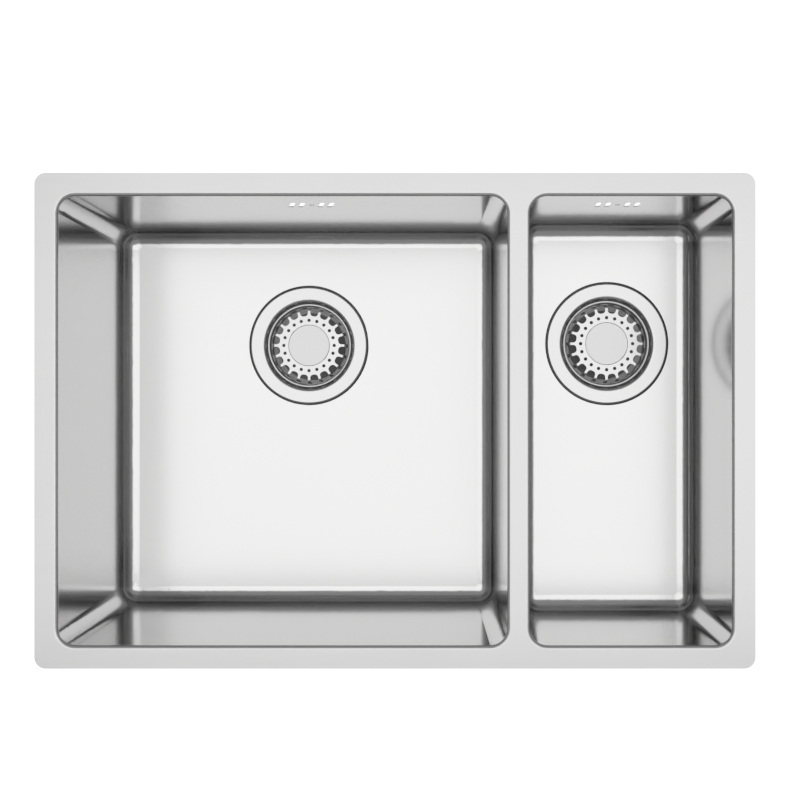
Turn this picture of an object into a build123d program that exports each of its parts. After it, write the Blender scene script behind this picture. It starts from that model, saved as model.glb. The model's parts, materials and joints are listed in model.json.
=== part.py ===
from build123d import *
import math
import os

# Undermount kitchen sink with a main bowl, a half bowl and a basket strainer waste in each.
# Millimetres. X runs to the right, Y to the back and Z up. The origin is the middle of the
# rim's top face, which meets the underside of the worktop.

# Sheet metal body
sheet = 1.0                  # sheet thickness of the rim and bowls
rim_width = 20.0             # outer edge of the rim to a bowl's wall
divider_width = 20.0         # wall to wall between the bowls
rim_corner_radius = 10.0     # outer corners of the rim, in plan
main_width = 400.0           # main bowl, wall to wall at the mouth
half_width = 180.0           # half bowl, wall to wall at the mouth
bowl_length = 400.0          # both bowls, front wall to back wall at the mouth
main_depth = 200.0           # rim's top to the main bowl's floor
half_depth = 160.0           # rim's top to the half bowl's floor
bowl_corner_radius = 15.5    # upright corners, in plan
mouth_roll = 3.0             # rounded edge where the rim turns down into a bowl
collar_straight = 2.0        # upright stretch of the rim's collar below the rounded edge
main_draft = 2.0             # lean of the main bowl's walls, degrees
half_draft = 1.6             # lean of the half bowl's walls, degrees
floor_radius = 14.8          # bend between the walls and the floor
recess_bend = 0.8            # small rounding of the edges of the waste recess

# Overflow slots in the back wall of each bowl
overflow_drop = 44.0         # rim's top to the middle of the slots
main_overflow_shift = 21.0   # slot group's middle to the right of the main bowl's middle
half_overflow_shift = -6.0   # slot group's middle to the right of the half bowl's middle
slot_width = 4.5
slot_height = 20.0
main_slot_lean = 15.0        # degrees from upright, tops to the right
half_slot_lean = 0.0
slot_pitch = 9.0
slots_each_side = 2
overflow_hole_radius = 2.5   # screw hole in the middle of the group

# Sound damping pads under the floors
pad_thickness = 3.0
pad_length = 160.0
pad_edge_gap = 20.0          # pad's side to the end of the floor's bend
pad_front_gap = 12.0         # pad's front edge to the end of the floor's bend
pad_corner_radius = 12.0

# Waste cup: flange, throat and bottom
waste_back = 76.0            # waste's middle behind the bowl's middle
cup_sheet = 1.2
flange_radius = 60.4
recess_gap = 2.2             # flange's edge to the wall of the recess
throat_radius = 45.2
lip_radius = 4.5             # rounding from the flange into the throat
throat_draft = 2.0           # degrees
cup_depth = 34.0             # bowl floor to the inside of the cup's bottom
cup_bend = 4.0               # inside bend between throat and bottom
hole_gap = 1.0               # throat's outside to the hole in the bowl's floor
drain_radius = 29.0          # outer edge of the drain openings
drain_hub_radius = 10.0      # inner edge of the drain openings
drain_arm_width = 6.0
drain_arm_count = 4
drain_corner_radius = 2.0

# Seals of the fixed waste
flange_seal_thickness = 1.2
flange_seal_inset = 1.0      # from the start of the lip to the seal's inner edge
gasket_thickness = 2.0
gasket_width = 8.5

# Waste housing under the bowl
housing_gap = 1.8            # throat's outside to the housing's inside
housing_wall = 3.0
housing_flange_thickness = 4.0
housing_flange_lap = 1.5     # flange's edge beyond the gasket
housing_floor_gap = 5.0      # cup's bottom to the start of the funnel
funnel_height = 22.0
outlet_radius = 23.9         # one and a half inch pipe thread, over the crests
outlet_wall = 3.5
outlet_land = 9.0            # plain stretch above the thread
thread_pitch = 2.309
thread_depth = 1.4
thread_turns = 8
thread_flat = 0.5            # flat at each crest
outlet_tip = 1.5             # plain stretch below the thread
clamp_gap = 2.0              # cup's bottom to the boss, taken up by tightening
boss_radius = 10.5
boss_height = 15.0
boss_rib_thickness = 3.5
boss_rib_count = 4
spigot_radius = 10.0         # overflow hose spigot
spigot_wall = 2.0
spigot_length = 24.0
spigot_drop = 22.0           # housing's top to the spigot's axis
hose_stop_radius = 12.0      # collar at the spigot's root, which the hose's end meets
hose_stop_length = 2.0

# Clamp screw, washer and nut
screw_radius = 4.0
screw_play = 0.3             # plain holes around the screw
thread_play = 0.05           # nut's bore around the screw
screw_head_radius = 7.0
screw_head_height = 8.5
socket_depth = 7.0
screw_end = 2.0              # screw's end below the nut
washer_radius = 9.0
washer_thickness = 1.2
nut_across_flats = 13.0
nut_height = 6.5
nut_play = 0.1

# Lift-out basket
basket_sheet = 0.8
basket_radius = 44.0         # over the lip
basket_drop = 5.6            # bowl floor to the top of the lip
basket_lip = 1.5             # flat of the lip
trough_drop = 15.0           # bowl floor to the bottom of the trough
trough_inner_radius = 40.0
dome_drop = 1.5              # bowl floor to the top of the dome
shoulder_radius = 38.0       # outer edge of the dome, where the flank drops away
shoulder_fall = 1.4          # fall of the dome from its middle to its edge
basket_bend = 0.9            # bends of the pressed strainer, on the middle of the sheet
strainer_count = 20          # slots, spokes and holes alike
spoke_width = 2.6
slot_inner_radius = 31.3     # slots run over the dome's edge and down to the trough
slot_outer_radius = 41.2
slot_corner = 3.3
hole_circle_radius = 26.7
strainer_hole_radius = 1.7
cap_radius = 20.7
cap_thickness = 0.9
cap_groove = 0.6             # gap around the cap
cap_ledge = 3.6              # width of the step that carries the cap
cap_skirt = 3.2              # height of the ring under the cap
cap_skirt_wall = 0.8
well_drop = 12.2             # bowl floor to the top of the hub
bush_wall = 2.0
bush_flange_lap = 2.0        # bush flange beyond its sleeve
bush_flange_thickness = 1.5
bush_rise = 3.0              # bush sleeve above the hub

# Stem, plug and clips
stem_radius = 4.0
running_play = 0.05          # stem in bush and stem's foot in the screw's socket
foot_radius = 3.5
foot_end_gap = 0.6           # foot's end to the bottom of the socket
collar_radius = 8.0
plug_radius = 36.0
plug_lip_thickness = 3.5
plug_hat_wall = 3.5
plug_hat_play = 3.0          # plug's hollow around the screw's head and washer
clip_radius = 6.5
clip_thickness = 1.0
clip_play = 0.2              # upper clip above the bush
clip_groove_depth = 0.8
clip_mouth = 5.0             # open side of a clip
stem_tip = 1.5               # stem above its upper clip

# Places worked out from the sizes above
rim_length = bowl_length + 2 * rim_width
rim_span = 2 * rim_width + main_width + divider_width + half_width
main_x = -rim_span / 2 + rim_width + main_width / 2
half_x = rim_span / 2 - rim_width - half_width / 2
collar_depth = mouth_roll + collar_straight
recess_depth = cup_sheet + flange_seal_thickness
recess_radius = flange_radius + recess_gap
throat_outside = throat_radius + cup_sheet
floor_hole_radius = throat_outside + hole_gap
bowl_underside = -(recess_depth + sheet)
cup_underside = -(cup_depth + cup_sheet)
housing_top = bowl_underside - gasket_thickness
housing_inside = throat_outside + housing_gap
housing_outside = housing_inside + housing_wall
boss_top = cup_underside - clamp_gap
boss_bottom = boss_top - boss_height
funnel_top = cup_underside - housing_floor_gap
outlet_top = funnel_top - funnel_height
outlet_bore = outlet_radius - outlet_wall
outlet_bottom = outlet_top - outlet_land - thread_turns * thread_pitch - outlet_tip
washer_top = -cup_depth + washer_thickness
screw_head_top = washer_top + screw_head_height
socket_radius = foot_radius + running_play
plug_hat_inside = max(washer_radius, screw_head_radius) + plug_hat_play
plug_hat_ceiling = screw_head_top + plug_hat_play
plug_hat_top = plug_hat_ceiling + plug_hat_wall
bush_radius = stem_radius + running_play + bush_wall
bush_top = -well_drop + bush_rise


def rounded_prism(width, length, corner, top, bottom):
    """An upright block with rounded corners, centred on the Z axis."""
    outline = Pos(0, 0, bottom) * RectangleRounded(width, length, corner)
    return extrude(outline, top - bottom)


def ring(outer, inner, top, bottom):
    """A flat ring around the Z axis."""
    outline = Circle(outer) - Circle(inner)
    return extrude(Pos(0, 0, bottom) * outline, top - bottom)


def disc(radius, top, bottom):
    """A plain disc around the Z axis."""
    return extrude(Pos(0, 0, bottom) * Circle(radius), top - bottom)


def turned(points):
    """A solid turned around the Z axis from corners given as (radius, height)."""
    outline = make_face(Polyline(*points, close=True))
    return revolve(Plane.XZ * outline, Axis.Z)


def pressed(points, bends, thickness):
    """Sheet pressed around the Z axis: corners of the sheet's middle line, and its bends."""
    section = trace(FilletPolyline(*points, radius=bends), thickness)
    return revolve(Plane.XZ * section, Axis.Z)


def mouth_roll_cut(width):
    """The space under a rounded mouth, between its collar and the rim's sheet."""
    reach = 2 * (mouth_roll + sheet)
    block = rounded_prism(
        width + reach, bowl_length + reach, bowl_corner_radius + reach / 2, -sheet, -collar_depth
    )
    core = rounded_prism(
        width + 2 * sheet, bowl_length + 2 * sheet, bowl_corner_radius + sheet, -sheet, -collar_depth
    )
    space = block - core
    top_face = space.faces().sort_by(Axis.Z)[-1]
    return fillet(top_face.inner_wires()[0].edges(), mouth_roll - sheet)


def make_rim():
    """Flat rim with a collar turned down around each mouth."""
    rim = rounded_prism(rim_span, rim_length, rim_corner_radius, 0, -sheet)
    mouths = ((main_x, main_width), (half_x, half_width))
    for x, width in mouths:
        grown = 2 * mouth_roll
        rim += Pos(x, 0, 0) * rounded_prism(
            width + grown, bowl_length + grown, bowl_corner_radius + mouth_roll, 0, -collar_depth
        )
    for x, width in mouths:
        rim -= Pos(x, 0, 0) * rounded_prism(
            width, bowl_length, bowl_corner_radius, 0, -collar_depth
        )
    top_face = rim.faces().sort_by(Axis.Z)[-1]
    mouth_edges = [edge for wire in top_face.inner_wires() for edge in wire.edges()]
    rim = fillet(mouth_edges, mouth_roll)
    for x, width in mouths:
        rim -= Pos(x, 0, 0) * mouth_roll_cut(width)
    return rim


def bowl_volume(width, length, corner, draft, top, bottom, bend):
    """A tapered tub: wide at the top, with a rounded edge around its floor."""
    lean = 2 * (top - bottom) * math.tan(math.radians(draft))
    mouth = Pos(0, 0, top) * RectangleRounded(width, length, corner)
    floor = Pos(0, 0, bottom) * RectangleRounded(width - lean, length - lean, corner)
    tub = loft([floor, mouth], ruled=True)
    return fillet(tub.faces().sort_by(Axis.Z)[0].edges(), bend)


def overflow_cutters(slot_lean):
    """Slots and a screw hole between them, drawn around the Y axis."""
    cutters = []
    reach = rim_width
    for step in range(-slots_each_side, slots_each_side + 1):
        if step == 0:
            outline = Circle(overflow_hole_radius)
        else:
            upright = SlotOverall(slot_height, slot_width, rotation=90 - slot_lean)
            outline = Pos(step * slot_pitch, 0) * upright
        cutters.append(extrude(Plane.XZ * outline, reach, both=True))
    return cutters


def make_bowl(width, depth, draft, overflow_shift, slot_lean):
    """Pressed bowl with a recessed waste hole and overflow slots, centred on its mouth."""
    top = -collar_depth
    outer = bowl_volume(
        width + 2 * sheet, bowl_length + 2 * sheet, bowl_corner_radius + sheet, draft,
        top, -depth - sheet, floor_radius + sheet
    )
    inner = bowl_volume(width, bowl_length, bowl_corner_radius, draft, top, -depth, floor_radius)
    waste = Pos(0, waste_back, -depth)
    outer += waste * disc(recess_radius + sheet, 0, bowl_underside)
    recess = disc(recess_radius, recess_bend, -recess_depth)
    recess = fillet(recess.edges().group_by(Axis.Z)[0], recess_bend)
    bowl = outer - inner - waste * recess
    recess_rim = bowl.edges().filter_by(GeomType.CIRCLE).filter_by(
        lambda edge: abs(edge.radius - recess_radius) < recess_bend / 2
        and abs(edge.center().Z + depth) < recess_bend / 2
    )
    bowl = fillet(recess_rim, recess_bend)
    bowl -= waste * disc(floor_hole_radius, 0, bowl_underside)
    for cutter in overflow_cutters(slot_lean):
        bowl -= Pos(overflow_shift, bowl_length / 2, -overflow_drop) * cutter
    return bowl


def make_sound_pad(width, depth, draft):
    """Flat damping pad under the front of a bowl's floor."""
    inset = floor_radius + (depth - collar_depth) * math.tan(math.radians(draft))
    front = -bowl_length / 2 + inset + pad_front_gap
    pad = rounded_prism(
        width - 2 * (inset + pad_edge_gap), pad_length, pad_corner_radius,
        -depth - sheet, -depth - sheet - pad_thickness
    )
    return Pos(0, front + pad_length / 2, 0) * pad


def arms(count, width, reach, top, bottom):
    """Straight arms from the Z axis outwards, evenly around."""
    arm = extrude(Pos(reach / 2, 0, bottom) * Rectangle(reach, width), top - bottom)
    return [Rot(0, 0, 360 / count * step) * arm for step in range(count)]


def spoked_ring_cut(outer, inner, count, spoke, corner, top, bottom):
    """Openings between two radii, parted by straight spokes, with rounded corners."""
    outline = Circle(outer) - Circle(inner)
    for step in range(count):
        outline -= Rot(0, 0, 360 / count * step) * Pos(outer, 0) * Rectangle(2 * outer, spoke)
    outline = fillet(outline.vertices(), corner)
    return extrude(Pos(0, 0, bottom) * outline, top - bottom)


def make_waste_cup():
    """Flange, throat and bottom in one pressing, with drain openings."""
    middle = cup_sheet / 2
    throat_fall = (cup_depth - lip_radius) * math.tan(math.radians(throat_draft))
    bore = screw_radius + screw_play
    cup = pressed(
        (
            (flange_radius, -middle),
            (throat_radius + middle, -middle),
            (throat_radius + middle - throat_fall, -cup_depth - middle),
            (bore, -cup_depth - middle),
        ),
        (lip_radius - middle, cup_bend + middle),
        cup_sheet,
    )
    return cup - spoked_ring_cut(
        drain_radius, drain_hub_radius, drain_arm_count, drain_arm_width, drain_corner_radius,
        -cup_depth, cup_underside
    )


def make_flange_seal():
    """Ring under the flange, which fills the recess and shows around the flange's edge."""
    inner = throat_radius + lip_radius + flange_seal_inset
    return ring(recess_radius - recess_bend, inner, -cup_sheet, -recess_depth)


def make_housing_gasket():
    return ring(housing_inside + gasket_width, housing_inside, bowl_underside, housing_top)


def outlet_thread_grooves():
    """Ring grooves around the outlet, one to each turn of the thread."""
    first = outlet_top - outlet_land
    half_groove = (thread_pitch - thread_flat) / 2
    root = outlet_radius - thread_depth
    for turn in range(thread_turns):
        middle = first - thread_pitch * (turn + 0.5)
        yield turned((
            (outlet_radius + thread_depth, middle + 2 * half_groove),
            (root, middle),
            (outlet_radius + thread_depth, middle - 2 * half_groove),
        ))


def make_waste_housing():
    """Moulded body with a flange, a funnel, a threaded outlet, a boss and a hose spigot."""
    flange_edge = housing_inside + gasket_width + housing_flange_lap
    flange_bottom = housing_top - housing_flange_thickness
    body = turned((
        (housing_inside, housing_top),
        (flange_edge, housing_top),
        (flange_edge, flange_bottom),
        (housing_outside, flange_bottom),
        (housing_outside, funnel_top),
        (outlet_radius, outlet_top),
        (outlet_radius, outlet_bottom),
        (outlet_bore, outlet_bottom),
        (outlet_bore, outlet_top),
        (housing_inside, funnel_top),
    ))
    for groove in outlet_thread_grooves():
        body -= groove
    boss = disc(boss_radius, boss_top, boss_bottom)
    for rib in arms(boss_rib_count, boss_rib_thickness, housing_inside, boss_top, boss_bottom):
        boss += rib
    inside = turned((
        (0, boss_top),
        (housing_inside + housing_wall / 2, boss_top),
        (housing_inside + housing_wall / 2, funnel_top),
        (outlet_bore + housing_wall / 2, outlet_top),
        (0, outlet_top),
    ))
    body += boss & inside
    spigot_axis = Pos(0, 0, housing_top - spigot_drop) * Rot(-90, 0, 0)
    reach = housing_outside + spigot_length
    spigot_root = housing_inside + housing_wall / 4
    body += spigot_axis * disc(spigot_radius, reach, spigot_root)
    body += spigot_axis * disc(hose_stop_radius, housing_outside + hose_stop_length, spigot_root)
    body -= spigot_axis * disc(spigot_radius - spigot_wall, reach, housing_inside - housing_wall)
    body -= disc(screw_radius + screw_play, boss_top, boss_bottom)
    pocket = RegularPolygon(nut_across_flats / 2 + nut_play, 6, major_radius=False)
    body -= extrude(Pos(0, 0, boss_bottom) * pocket, nut_height)
    return body


def make_clamp_nut():
    outline = RegularPolygon(nut_across_flats / 2, 6, major_radius=False)
    outline -= Circle(screw_radius + thread_play)
    return extrude(Pos(0, 0, boss_bottom) * outline, nut_height)


def make_clamp_screw():
    screw = disc(screw_head_radius, screw_head_top, washer_top)
    screw += disc(screw_radius, washer_top, boss_bottom - screw_end)
    return screw - disc(socket_radius, screw_head_top, screw_head_top - socket_depth)


def make_clamp_washer():
    return ring(washer_radius, screw_radius + screw_play, washer_top, -cup_depth)


def make_strainer_shell():
    """Pressed strainer: lip, trough, slotted and drilled dome, and a sunken hub."""
    middle = basket_sheet / 2
    lip_z = -basket_drop - middle
    trough_z = -trough_drop - middle
    trough_outer = basket_radius - basket_lip - middle
    seat_z = -dome_drop - cap_thickness - middle
    seat_radius = cap_radius + cap_groove + middle
    well_radius = cap_radius - cap_ledge + middle
    shell = pressed(
        (
            (basket_radius, lip_z),
            (trough_outer, lip_z),
            (trough_outer, trough_z),
            (trough_inner_radius, trough_z),
            (shoulder_radius, -dome_drop - shoulder_fall - middle),
            (seat_radius, -dome_drop - middle),
            (seat_radius, seat_z),
            (well_radius, seat_z),
            (well_radius, -well_drop - middle),
            (bush_radius, -well_drop - middle),
        ),
        (
            basket_bend, basket_bend, basket_bend, 2 * basket_bend,
            middle, middle, basket_bend, basket_bend
        ),
        basket_sheet,
    )
    shell -= spoked_ring_cut(
        slot_outer_radius, slot_inner_radius, strainer_count, spoke_width, slot_corner,
        0, trough_z - basket_sheet
    )
    hole = Pos(hole_circle_radius, 0, 0) * disc(strainer_hole_radius, 0, -well_drop)
    for step in range(strainer_count):
        shell -= Rot(0, 0, 360 / strainer_count * step) * hole
    return shell


def make_strainer_cap():
    """Plain disc with a ring below it that presses into the strainer's middle."""
    top = -dome_drop
    skirt = cap_radius - cap_ledge
    return turned((
        (0, top),
        (cap_radius, top),
        (cap_radius, top - cap_thickness),
        (skirt, top - cap_thickness),
        (skirt, top - cap_thickness - cap_skirt),
        (skirt - cap_skirt_wall, top - cap_thickness - cap_skirt),
        (skirt - cap_skirt_wall, top - cap_thickness),
        (0, top - cap_thickness),
    ))


def make_strainer_bush():
    """Bush in the strainer's hub, with a flange under it that stands on the stem's collar."""
    bore = stem_radius + running_play
    hub_underside = -well_drop - basket_sheet
    return turned((
        (bore, bush_top),
        (bush_radius, bush_top),
        (bush_radius, hub_underside),
        (bush_radius + bush_flange_lap, hub_underside),
        (bush_radius + bush_flange_lap, hub_underside - bush_flange_thickness),
        (bore, hub_underside - bush_flange_thickness),
    ))


def stem_levels():
    """Heights of the stem's collar and clips, from the bush down to the plug."""
    collar_seat = -well_drop - basket_sheet - bush_flange_thickness
    upper_clip = bush_top + clip_play
    return collar_seat, upper_clip


def make_plug_stem():
    """Turned stem: foot, plug seat, collar, journal and two clip grooves."""
    collar_seat, upper_clip = stem_levels()
    foot_end = screw_head_top - socket_depth + foot_end_gap
    stem = disc(foot_radius, plug_hat_ceiling, foot_end)
    stem += disc(stem_radius, upper_clip + clip_thickness + stem_tip, screw_head_top + clip_play)
    stem += disc(collar_radius, collar_seat, plug_hat_top)
    for clip_bottom in (upper_clip, plug_hat_ceiling - clip_thickness):
        groove_floor = stem_radius - clip_groove_depth
        stem -= ring(2 * stem_radius, groove_floor, clip_bottom + clip_thickness, clip_bottom)
    return stem


def make_plug_seal():
    """Rubber plug: a flat lip on the cup's bottom and a hat over the screw's head."""
    seat = -cup_depth
    return turned((
        (stem_radius, plug_hat_top),
        (plug_hat_inside + plug_hat_wall, plug_hat_top),
        (plug_hat_inside + plug_hat_wall, seat + plug_lip_thickness),
        (plug_radius, seat + plug_lip_thickness),
        (plug_radius, seat),
        (plug_hat_inside, seat),
        (plug_hat_inside, plug_hat_ceiling),
        (stem_radius, plug_hat_ceiling),
    ))


def make_stem_clips():
    """Two open spring clips in the stem's grooves."""
    _, upper_clip = stem_levels()
    clips = []
    for bottom in (upper_clip, plug_hat_ceiling - clip_thickness):
        top = bottom + clip_thickness
        clip = ring(clip_radius, stem_radius - clip_groove_depth, top, bottom)
        mouth = Pos(clip_radius, 0, bottom) * Rectangle(2 * clip_radius, clip_mouth)
        clips.append(clip - extrude(mouth, clip_thickness))
    return Compound(clips)


waste_pieces = {
    "waste_cup": make_waste_cup(),
    "flange_seal": make_flange_seal(),
    "housing_gasket": make_housing_gasket(),
    "waste_housing": make_waste_housing(),
    "clamp_nut": make_clamp_nut(),
    "clamp_screw": make_clamp_screw(),
    "clamp_washer": make_clamp_washer(),
    "strainer_shell": make_strainer_shell(),
    "strainer_cap": make_strainer_cap(),
    "strainer_bush": make_strainer_bush(),
    "plug_stem": make_plug_stem(),
    "plug_seal": make_plug_seal(),
    "stem_clips": make_stem_clips(),
}

bowls = {
    "main": (main_x, main_width, main_depth, main_draft, main_overflow_shift, main_slot_lean),
    "half": (half_x, half_width, half_depth, half_draft, half_overflow_shift, half_slot_lean),
}

nodes = {"rim_flange": make_rim()}
for side, (x, width, depth, draft, overflow_shift, slot_lean) in bowls.items():
    nodes[f"{side}_bowl"] = Pos(x, 0, 0) * make_bowl(width, depth, draft, overflow_shift, slot_lean)
    nodes[f"{side}_sound_pad"] = Pos(x, 0, 0) * make_sound_pad(width, depth, draft)
    for name, piece in waste_pieces.items():
        nodes[f"{side}_{name}"] = Pos(x, waste_back, -depth) * piece

os.makedirs("parts", exist_ok=True)
for name, shape in nodes.items():
    export_step(shape, f"parts/{name}.step")
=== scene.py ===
import json

import bpy
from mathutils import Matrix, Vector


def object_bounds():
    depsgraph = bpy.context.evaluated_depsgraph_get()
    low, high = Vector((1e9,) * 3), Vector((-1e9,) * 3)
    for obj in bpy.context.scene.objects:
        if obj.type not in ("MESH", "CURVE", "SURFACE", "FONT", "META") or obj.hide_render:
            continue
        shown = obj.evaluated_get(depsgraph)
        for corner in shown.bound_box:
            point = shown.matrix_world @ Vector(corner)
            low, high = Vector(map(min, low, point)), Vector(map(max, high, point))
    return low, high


# Undermount kitchen sink seen from straight above. Metres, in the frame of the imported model:
# the origin is the middle of the rim's top face, X runs right, Y back and Z up.

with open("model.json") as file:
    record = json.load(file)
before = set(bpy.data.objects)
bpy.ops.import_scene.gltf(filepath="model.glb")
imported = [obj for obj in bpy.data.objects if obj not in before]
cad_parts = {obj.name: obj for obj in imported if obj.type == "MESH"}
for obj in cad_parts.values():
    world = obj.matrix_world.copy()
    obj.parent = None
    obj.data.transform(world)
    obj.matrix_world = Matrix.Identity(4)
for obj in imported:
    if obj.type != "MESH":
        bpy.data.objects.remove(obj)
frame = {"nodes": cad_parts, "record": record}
cad_low, cad_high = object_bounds()
scene = bpy.context.scene
scene.view_settings.view_transform = "Standard"

# Camera: straight down, with a shifted lens, because the photograph's axis isn't at its middle
image_width = 800                 # pixels, both ways
axis_pixel = (446.65, 398.65)     # where the camera's axis meets the picture
camera_place = (0.0459, 0.0196, 1.037)
focal_pixels = 1168.6
sensor_width = 36.0               # millimetres

# Floor
floor_gap = 0.0005                # below the lowest point of the sink
floor_reach = 40.0                # from the middle to each edge
floor_colour = 0.82
floor_own_light = 0.90            # share of white that the camera and reflections see
floor_dim_colour = 0.40           # diffuse share that they see beside it, which keeps the shadow

# Light
softbox_place = (0.20, 0.075, 2.2)
softbox_size = (3.40, 2.05)
softbox_power = 22.0              # watts
room_levels = (                   # sine of the elevation, and the light of the room there
    (0.00, 0.70),
    (0.08, 0.70),
    (0.20, 0.50),
    (0.40, 0.31),
    (0.70, 0.31),
    (0.92, 0.35),
)

# In the finishes below, noise is in cells per metre, and a swing is the share by which
# a value goes up and down with the noise
plain_detail = 2.0                # octaves of noise
rich_detail = 3.0

# Sheet steel: brightness and roughness of its level and its upright faces; where the upright
# brightness is lower, as in the bowl, that is painted shade on the walls
rim_steel = {"level": (0.62, 0.30), "upright": (0.62, 0.30)}
bowl_steel = {"level": (0.665, 0.20), "upright": (0.625, 0.14)}
steel_tint = (1.0, 0.995, 0.993)
brush_across = 1400.0             # noise across the brush lines
brush_along = 12.0                # and along them
brush_strength = 0.03             # of the bump
brush_depth = 0.0001
brush_share = 0.6                 # of the lines in the unevenness
sheet_cloud_share = 0.4           # and of the clouds
sheet_clouds = 9.0
sheet_rough_swing = 0.25
sheet_bright_swing = 0.035

# Pressed and turned metal
metal_speckle = 900.0
metal_clouds = 40.0
metal_share = 0.5                 # of speckle and of clouds in the unevenness
metal_rough_swing = 0.25
metal_colour_swing = 0.05
turned_finishes = {               # colour and roughness
    "cap_steel": ((0.57, 0.565, 0.565), 0.26),
    "fastener_steel": ((0.62, 0.62, 0.62), 0.30),
    "nut_brass": ((0.78, 0.58, 0.28), 0.30),
}

# Pressed waste pieces: bright on top; deep below the bowl's floor rougher, where the polishing wheel
# doesn't reach, and a little darker, which is painted shade
pressed_finish = ((0.63, 0.625, 0.625), 0.20)
dull_and_shade_depth = (0.0035, 0.0060)     # below the bowl's floor, where the rougher finish and the painted shade begin and are full
# grey of the painted shade deep below the bowl's floor
deep_shade_colour = 0.62
dull_roughness = 0.50

# Moulded rubber and plastic
moulded_clouds = 25.0
moulded_rough_swing = 0.15
moulded_colour_swing = 0.12
grain_strength = 0.2              # of the bump
moulded_finishes = {              # colour, roughness, noise and depth of the grain
    "damping_rubber": ((0.035, 0.036, 0.040), 0.75, 500.0, 0.0004),
    "seal_rubber": ((0.160, 0.160, 0.160), 0.55, 900.0, 0.0001),
    "plug_rubber": ((0.300, 0.300, 0.302), 0.50, 900.0, 0.0001),
    "housing_plastic": ((0.040, 0.042, 0.045), 0.42, 1500.0, 0.0001),
    "bush_plastic": ((0.72, 0.72, 0.70), 0.38, 1500.0, 0.00005),
}


def feed(tree, socket, value):
    """Links another node's output to an input, or sets a constant on it."""
    if isinstance(value, bpy.types.NodeSocket):
        tree.links.new(value, socket)
    else:
        socket.default_value = value


def add_node(tree, kind, inputs=None):
    """A shader node with some of its inputs fed, by their names."""
    node = tree.nodes.new(kind)
    for name, value in (inputs or {}).items():
        feed(tree, node.inputs[name], value)
    return node


def maths(tree, operation, *values):
    """A math node of some sockets or numbers."""
    node = tree.nodes.new("ShaderNodeMath")
    node.operation = operation
    for slot, value in enumerate(values):
        feed(tree, node.inputs[slot], value)
    return node.outputs[0]


def weighted_sum(tree, first, first_share, second, second_share):
    return maths(
        tree,
        "ADD",
        maths(tree, "MULTIPLY", first, first_share),
        maths(tree, "MULTIPLY", second, second_share),
    )


def mixed(tree, factor, first, second, kind="FLOAT"):
    """A number, or a colour where kind is RGBA, between two sockets or constants."""
    node = tree.nodes.new("ShaderNodeMix")
    node.data_type = kind
    for name, value in (("Factor", factor), ("A", first), ("B", second)):
        feed(tree, node.inputs[name], value)
    return node.outputs["Result"]


def swung(tree, noise, middle, swing):
    """A number that goes up and down around its middle with a noise."""
    limits = {"To Min": middle * (1 - swing), "To Max": middle * (1 + swing)}
    return add_node(tree, "ShaderNodeMapRange", {"Value": noise, **limits}).outputs["Result"]


def swung_colour(tree, noise, colour, swing):
    """A colour that goes darker and lighter with a noise."""
    dark = [c * (1 - swing) for c in colour]
    light = [min(1.0, c * (1 + swing)) for c in colour]
    return mixed(tree, noise, (*dark, 1), (*light, 1), "RGBA")


def grey(level):
    return (level, level, level, 1.0)


def new_material(name):
    """An empty node material, with its tree and its Principled shader."""
    material = bpy.data.materials.new(name)
    material.use_nodes = True
    tree = material.node_tree
    return material, tree, tree.nodes["Principled BSDF"]


def object_place(tree):
    return add_node(tree, "ShaderNodeTexCoord").outputs["Object"]


def height_of(tree, vector):
    return add_node(tree, "ShaderNodeSeparateXYZ", {"Vector": vector}).outputs["Z"]


def stretched_noise(tree, place, cells, detail=plain_detail):
    """Noise in cells of different length along X, Y and Z."""
    mapping = add_node(tree, "ShaderNodeMapping", {"Vector": place, "Scale": cells})
    settings = {"Vector": mapping.outputs[0], "Scale": 1.0, "Detail": detail}
    return add_node(tree, "ShaderNodeTexNoise", settings).outputs["Fac"]


def even_noise(tree, place, cells, detail=plain_detail):
    return stretched_noise(tree, place, (cells, cells, cells), detail)


def face_level(tree):
    """1 on level faces and 0 on upright ones."""
    normal = add_node(tree, "ShaderNodeNewGeometry").outputs["Normal"]
    return maths(tree, "ABSOLUTE", height_of(tree, normal))


def add_bump(tree, shader, height, strength, depth):
    settings = {"Height": height, "Strength": strength, "Distance": depth}
    feed(tree, shader.inputs["Normal"], add_node(tree, "ShaderNodeBump", settings).outputs["Normal"])


def brushed_steel(name, level, upright):
    """Sheet steel with brush lines, along X on level faces and around the bowl on upright ones."""
    material, tree, shader = new_material(name)
    place = object_place(tree)
    flatness = face_level(tree)
    across_y = stretched_noise(tree, place, (brush_along, brush_across, brush_along))
    across_z = stretched_noise(tree, place, (brush_along, brush_along, brush_across))
    lines = mixed(tree, flatness, across_z, across_y)
    clouds = even_noise(tree, place, sheet_clouds, rich_detail)
    both = weighted_sum(tree, lines, brush_share, clouds, sheet_cloud_share)
    # upright faces take their own brightness: the bowl's darker walls are painted shade
    tone_with_painted_shade = mixed(tree, flatness, upright[0], level[0])
    tone_with_painted_shade = maths(tree, "MULTIPLY", tone_with_painted_shade, swung(tree, both, 1.0, sheet_bright_swing))
    rough = mixed(tree, flatness, upright[1], level[1])
    rough = maths(tree, "MULTIPLY", rough, swung(tree, both, 1.0, sheet_rough_swing))
    paint = tree.nodes.new("ShaderNodeVectorMath")
    paint.operation = "SCALE"
    feed(tree, paint.inputs[0], steel_tint)
    feed(tree, paint.inputs["Scale"], tone_with_painted_shade)
    feed(tree, shader.inputs["Base Color"], paint.outputs["Vector"])
    feed(tree, shader.inputs["Roughness"], rough)
    feed(tree, shader.inputs["Metallic"], 1.0)
    add_bump(tree, shader, lines, brush_strength, brush_depth)
    return material


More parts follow.
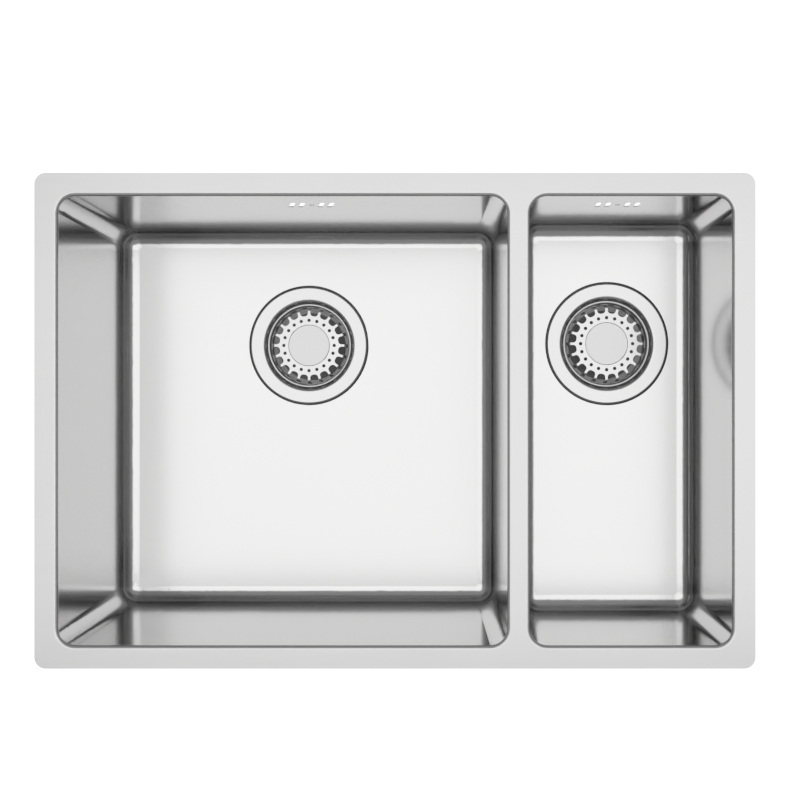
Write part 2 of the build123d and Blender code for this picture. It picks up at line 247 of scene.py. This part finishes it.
def turned_metal(name, colour, roughness, floor_height=None):
    """Pressed or turned metal: speckle and clouds in its polish, rougher deep below a bowl's floor
    and a little darker there, a painted shade.
    """
    material, tree, shader = new_material(name)
    place = object_place(tree)
    speckle = even_noise(tree, place, metal_speckle)
    clouds = even_noise(tree, place, metal_clouds, rich_detail)
    both = weighted_sum(tree, speckle, metal_share, clouds, metal_share)
    rough = swung(tree, both, roughness, metal_rough_swing)
    paint = swung_colour(tree, both, colour, metal_colour_swing)
    if floor_height is not None:
        begin, full = (floor_height - depth for depth in dull_and_shade_depth)
        limits = {"From Min": begin, "From Max": full}
        height = height_of(tree, place)
        dull_and_shade = add_node(tree, "ShaderNodeMapRange", {"Value": height, **limits}).outputs["Result"]
        rough = mixed(tree, dull_and_shade, rough, dull_roughness)
        # the darker grey deep below the floor is painted shade
        paint = mixed(tree, dull_and_shade, paint, grey(deep_shade_colour), "RGBA")
    feed(tree, shader.inputs["Base Color"], paint)
    feed(tree, shader.inputs["Roughness"], rough)
    feed(tree, shader.inputs["Metallic"], 1.0)
    return material


def moulded(name, colour, roughness, grain, depth):
    """Plastic or rubber with a fine moulded grain."""
    material, tree, shader = new_material(name)
    place = object_place(tree)
    grains = even_noise(tree, place, grain, rich_detail)
    clouds = even_noise(tree, place, moulded_clouds)
    feed(tree, shader.inputs["Base Color"], swung_colour(tree, clouds, colour, moulded_colour_swing))
    feed(tree, shader.inputs["Roughness"], swung(tree, grains, roughness, moulded_rough_swing))
    add_bump(tree, shader, grains, grain_strength, depth)
    return material


def dress_nodes():
    """Gives every node the finish of its material slot."""
    finishes = {
        "rim": brushed_steel("rim_steel", **rim_steel),
        "bowl": brushed_steel("bowl_steel", **bowl_steel),
    }
    for name, values in turned_finishes.items():
        finishes[name] = turned_metal(name, *values)
    for name, values in moulded_finishes.items():
        finishes[name] = moulded(name, *values)
    for side in ("main", "half"):
        cup = frame["nodes"][f"{side}_waste_cup"].data
        floor_height = max(vertex.co.z for vertex in cup.vertices)
        name = f"{side}_pressed_steel"
        finishes[f"{side}_pressed"] = turned_metal(name, *pressed_finish, floor_height)
    for row in frame["record"]["subparts"]:
        name, finish = row["node"], row["material_slot"]
        if finish == "brushed_steel":
            finish = "rim" if name == "rim_flange" else "bowl"
        elif finish == "pressed_steel":
            finish = name.split("_")[0] + "_pressed"
        mesh = frame["nodes"][name].data
        mesh.materials.clear()
        mesh.materials.append(finishes[finish])


def add_camera():
    data = bpy.data.cameras.new("camera")
    data.sensor_width = sensor_width
    data.lens = focal_pixels * sensor_width / image_width
    middle = image_width / 2
    data.shift_x = (middle - axis_pixel[0]) / image_width
    data.shift_y = (axis_pixel[1] - middle) / image_width
    camera = bpy.data.objects.new("camera", data)
    camera.location = camera_place
    scene.collection.objects.link(camera)
    scene.camera = camera


def floor_material():
    """Pale floor that looks white to the camera and in reflections, and still takes shadows."""
    material, tree, shader = new_material("floor_white")
    tree.nodes.remove(shader)
    path = add_node(tree, "ShaderNodeLightPath").outputs
    seen = maths(tree, "MAXIMUM", path["Is Camera Ray"], path["Is Glossy Ray"])
    seen = maths(tree, "MAXIMUM", seen, path["Is Transmission Ray"])
    plain = add_node(tree, "ShaderNodeBsdfDiffuse", {"Color": grey(floor_colour)})
    dim = add_node(tree, "ShaderNodeBsdfDiffuse", {"Color": grey(floor_dim_colour)})
    own = add_node(tree, "ShaderNodeEmission", {"Color": grey(1.0), "Strength": floor_own_light})
    white = tree.nodes.new("ShaderNodeAddShader")
    feed(tree, white.inputs[0], dim.outputs[0])
    feed(tree, white.inputs[1], own.outputs[0])
    mix = tree.nodes.new("ShaderNodeMixShader")
    for slot, socket in enumerate((seen, plain.outputs[0], white.outputs[0])):
        feed(tree, mix.inputs[slot], socket)
    feed(tree, tree.nodes["Material Output"].inputs["Surface"], mix.outputs[0])
    return material


def add_floor():
    height = cad_low.z - floor_gap
    ways = ((-1, -1), (1, -1), (1, 1), (-1, 1))
    corners = [(x * floor_reach, y * floor_reach, height) for x, y in ways]
    mesh = bpy.data.meshes.new("floor")
    mesh.from_pydata(corners, [], [range(len(corners))])
    mesh.materials.append(floor_material())
    floor = bpy.data.objects.new("floor", mesh)
    scene.collection.objects.link(floor)


def add_room():
    """A room whose light changes with the height above the horizon."""
    world = bpy.data.worlds.new("room")
    world.use_nodes = True
    scene.world = world
    tree = world.node_tree
    way = add_node(tree, "ShaderNodeTexCoord").outputs["Generated"]
    ramp = add_node(tree, "ShaderNodeValToRGB", {"Fac": height_of(tree, way)})
    stops = ramp.color_ramp.elements
    stops.remove(stops[-1])
    for place, level in room_levels:
        stop = stops.new(place) if place else stops[0]
        stop.color = grey(level)
    feed(tree, tree.nodes["Background"].inputs["Color"], ramp.outputs["Color"])


def add_softbox():
    """A broad lamp overhead."""
    data = bpy.data.lights.new("softbox", "AREA")
    data.shape = "RECTANGLE"
    data.size, data.size_y = softbox_size
    data.energy = softbox_power
    lamp = bpy.data.objects.new("softbox", data)
    lamp.location = softbox_place
    scene.collection.objects.link(lamp)


dress_nodes()
add_camera()
add_floor()
add_room()
add_softbox()
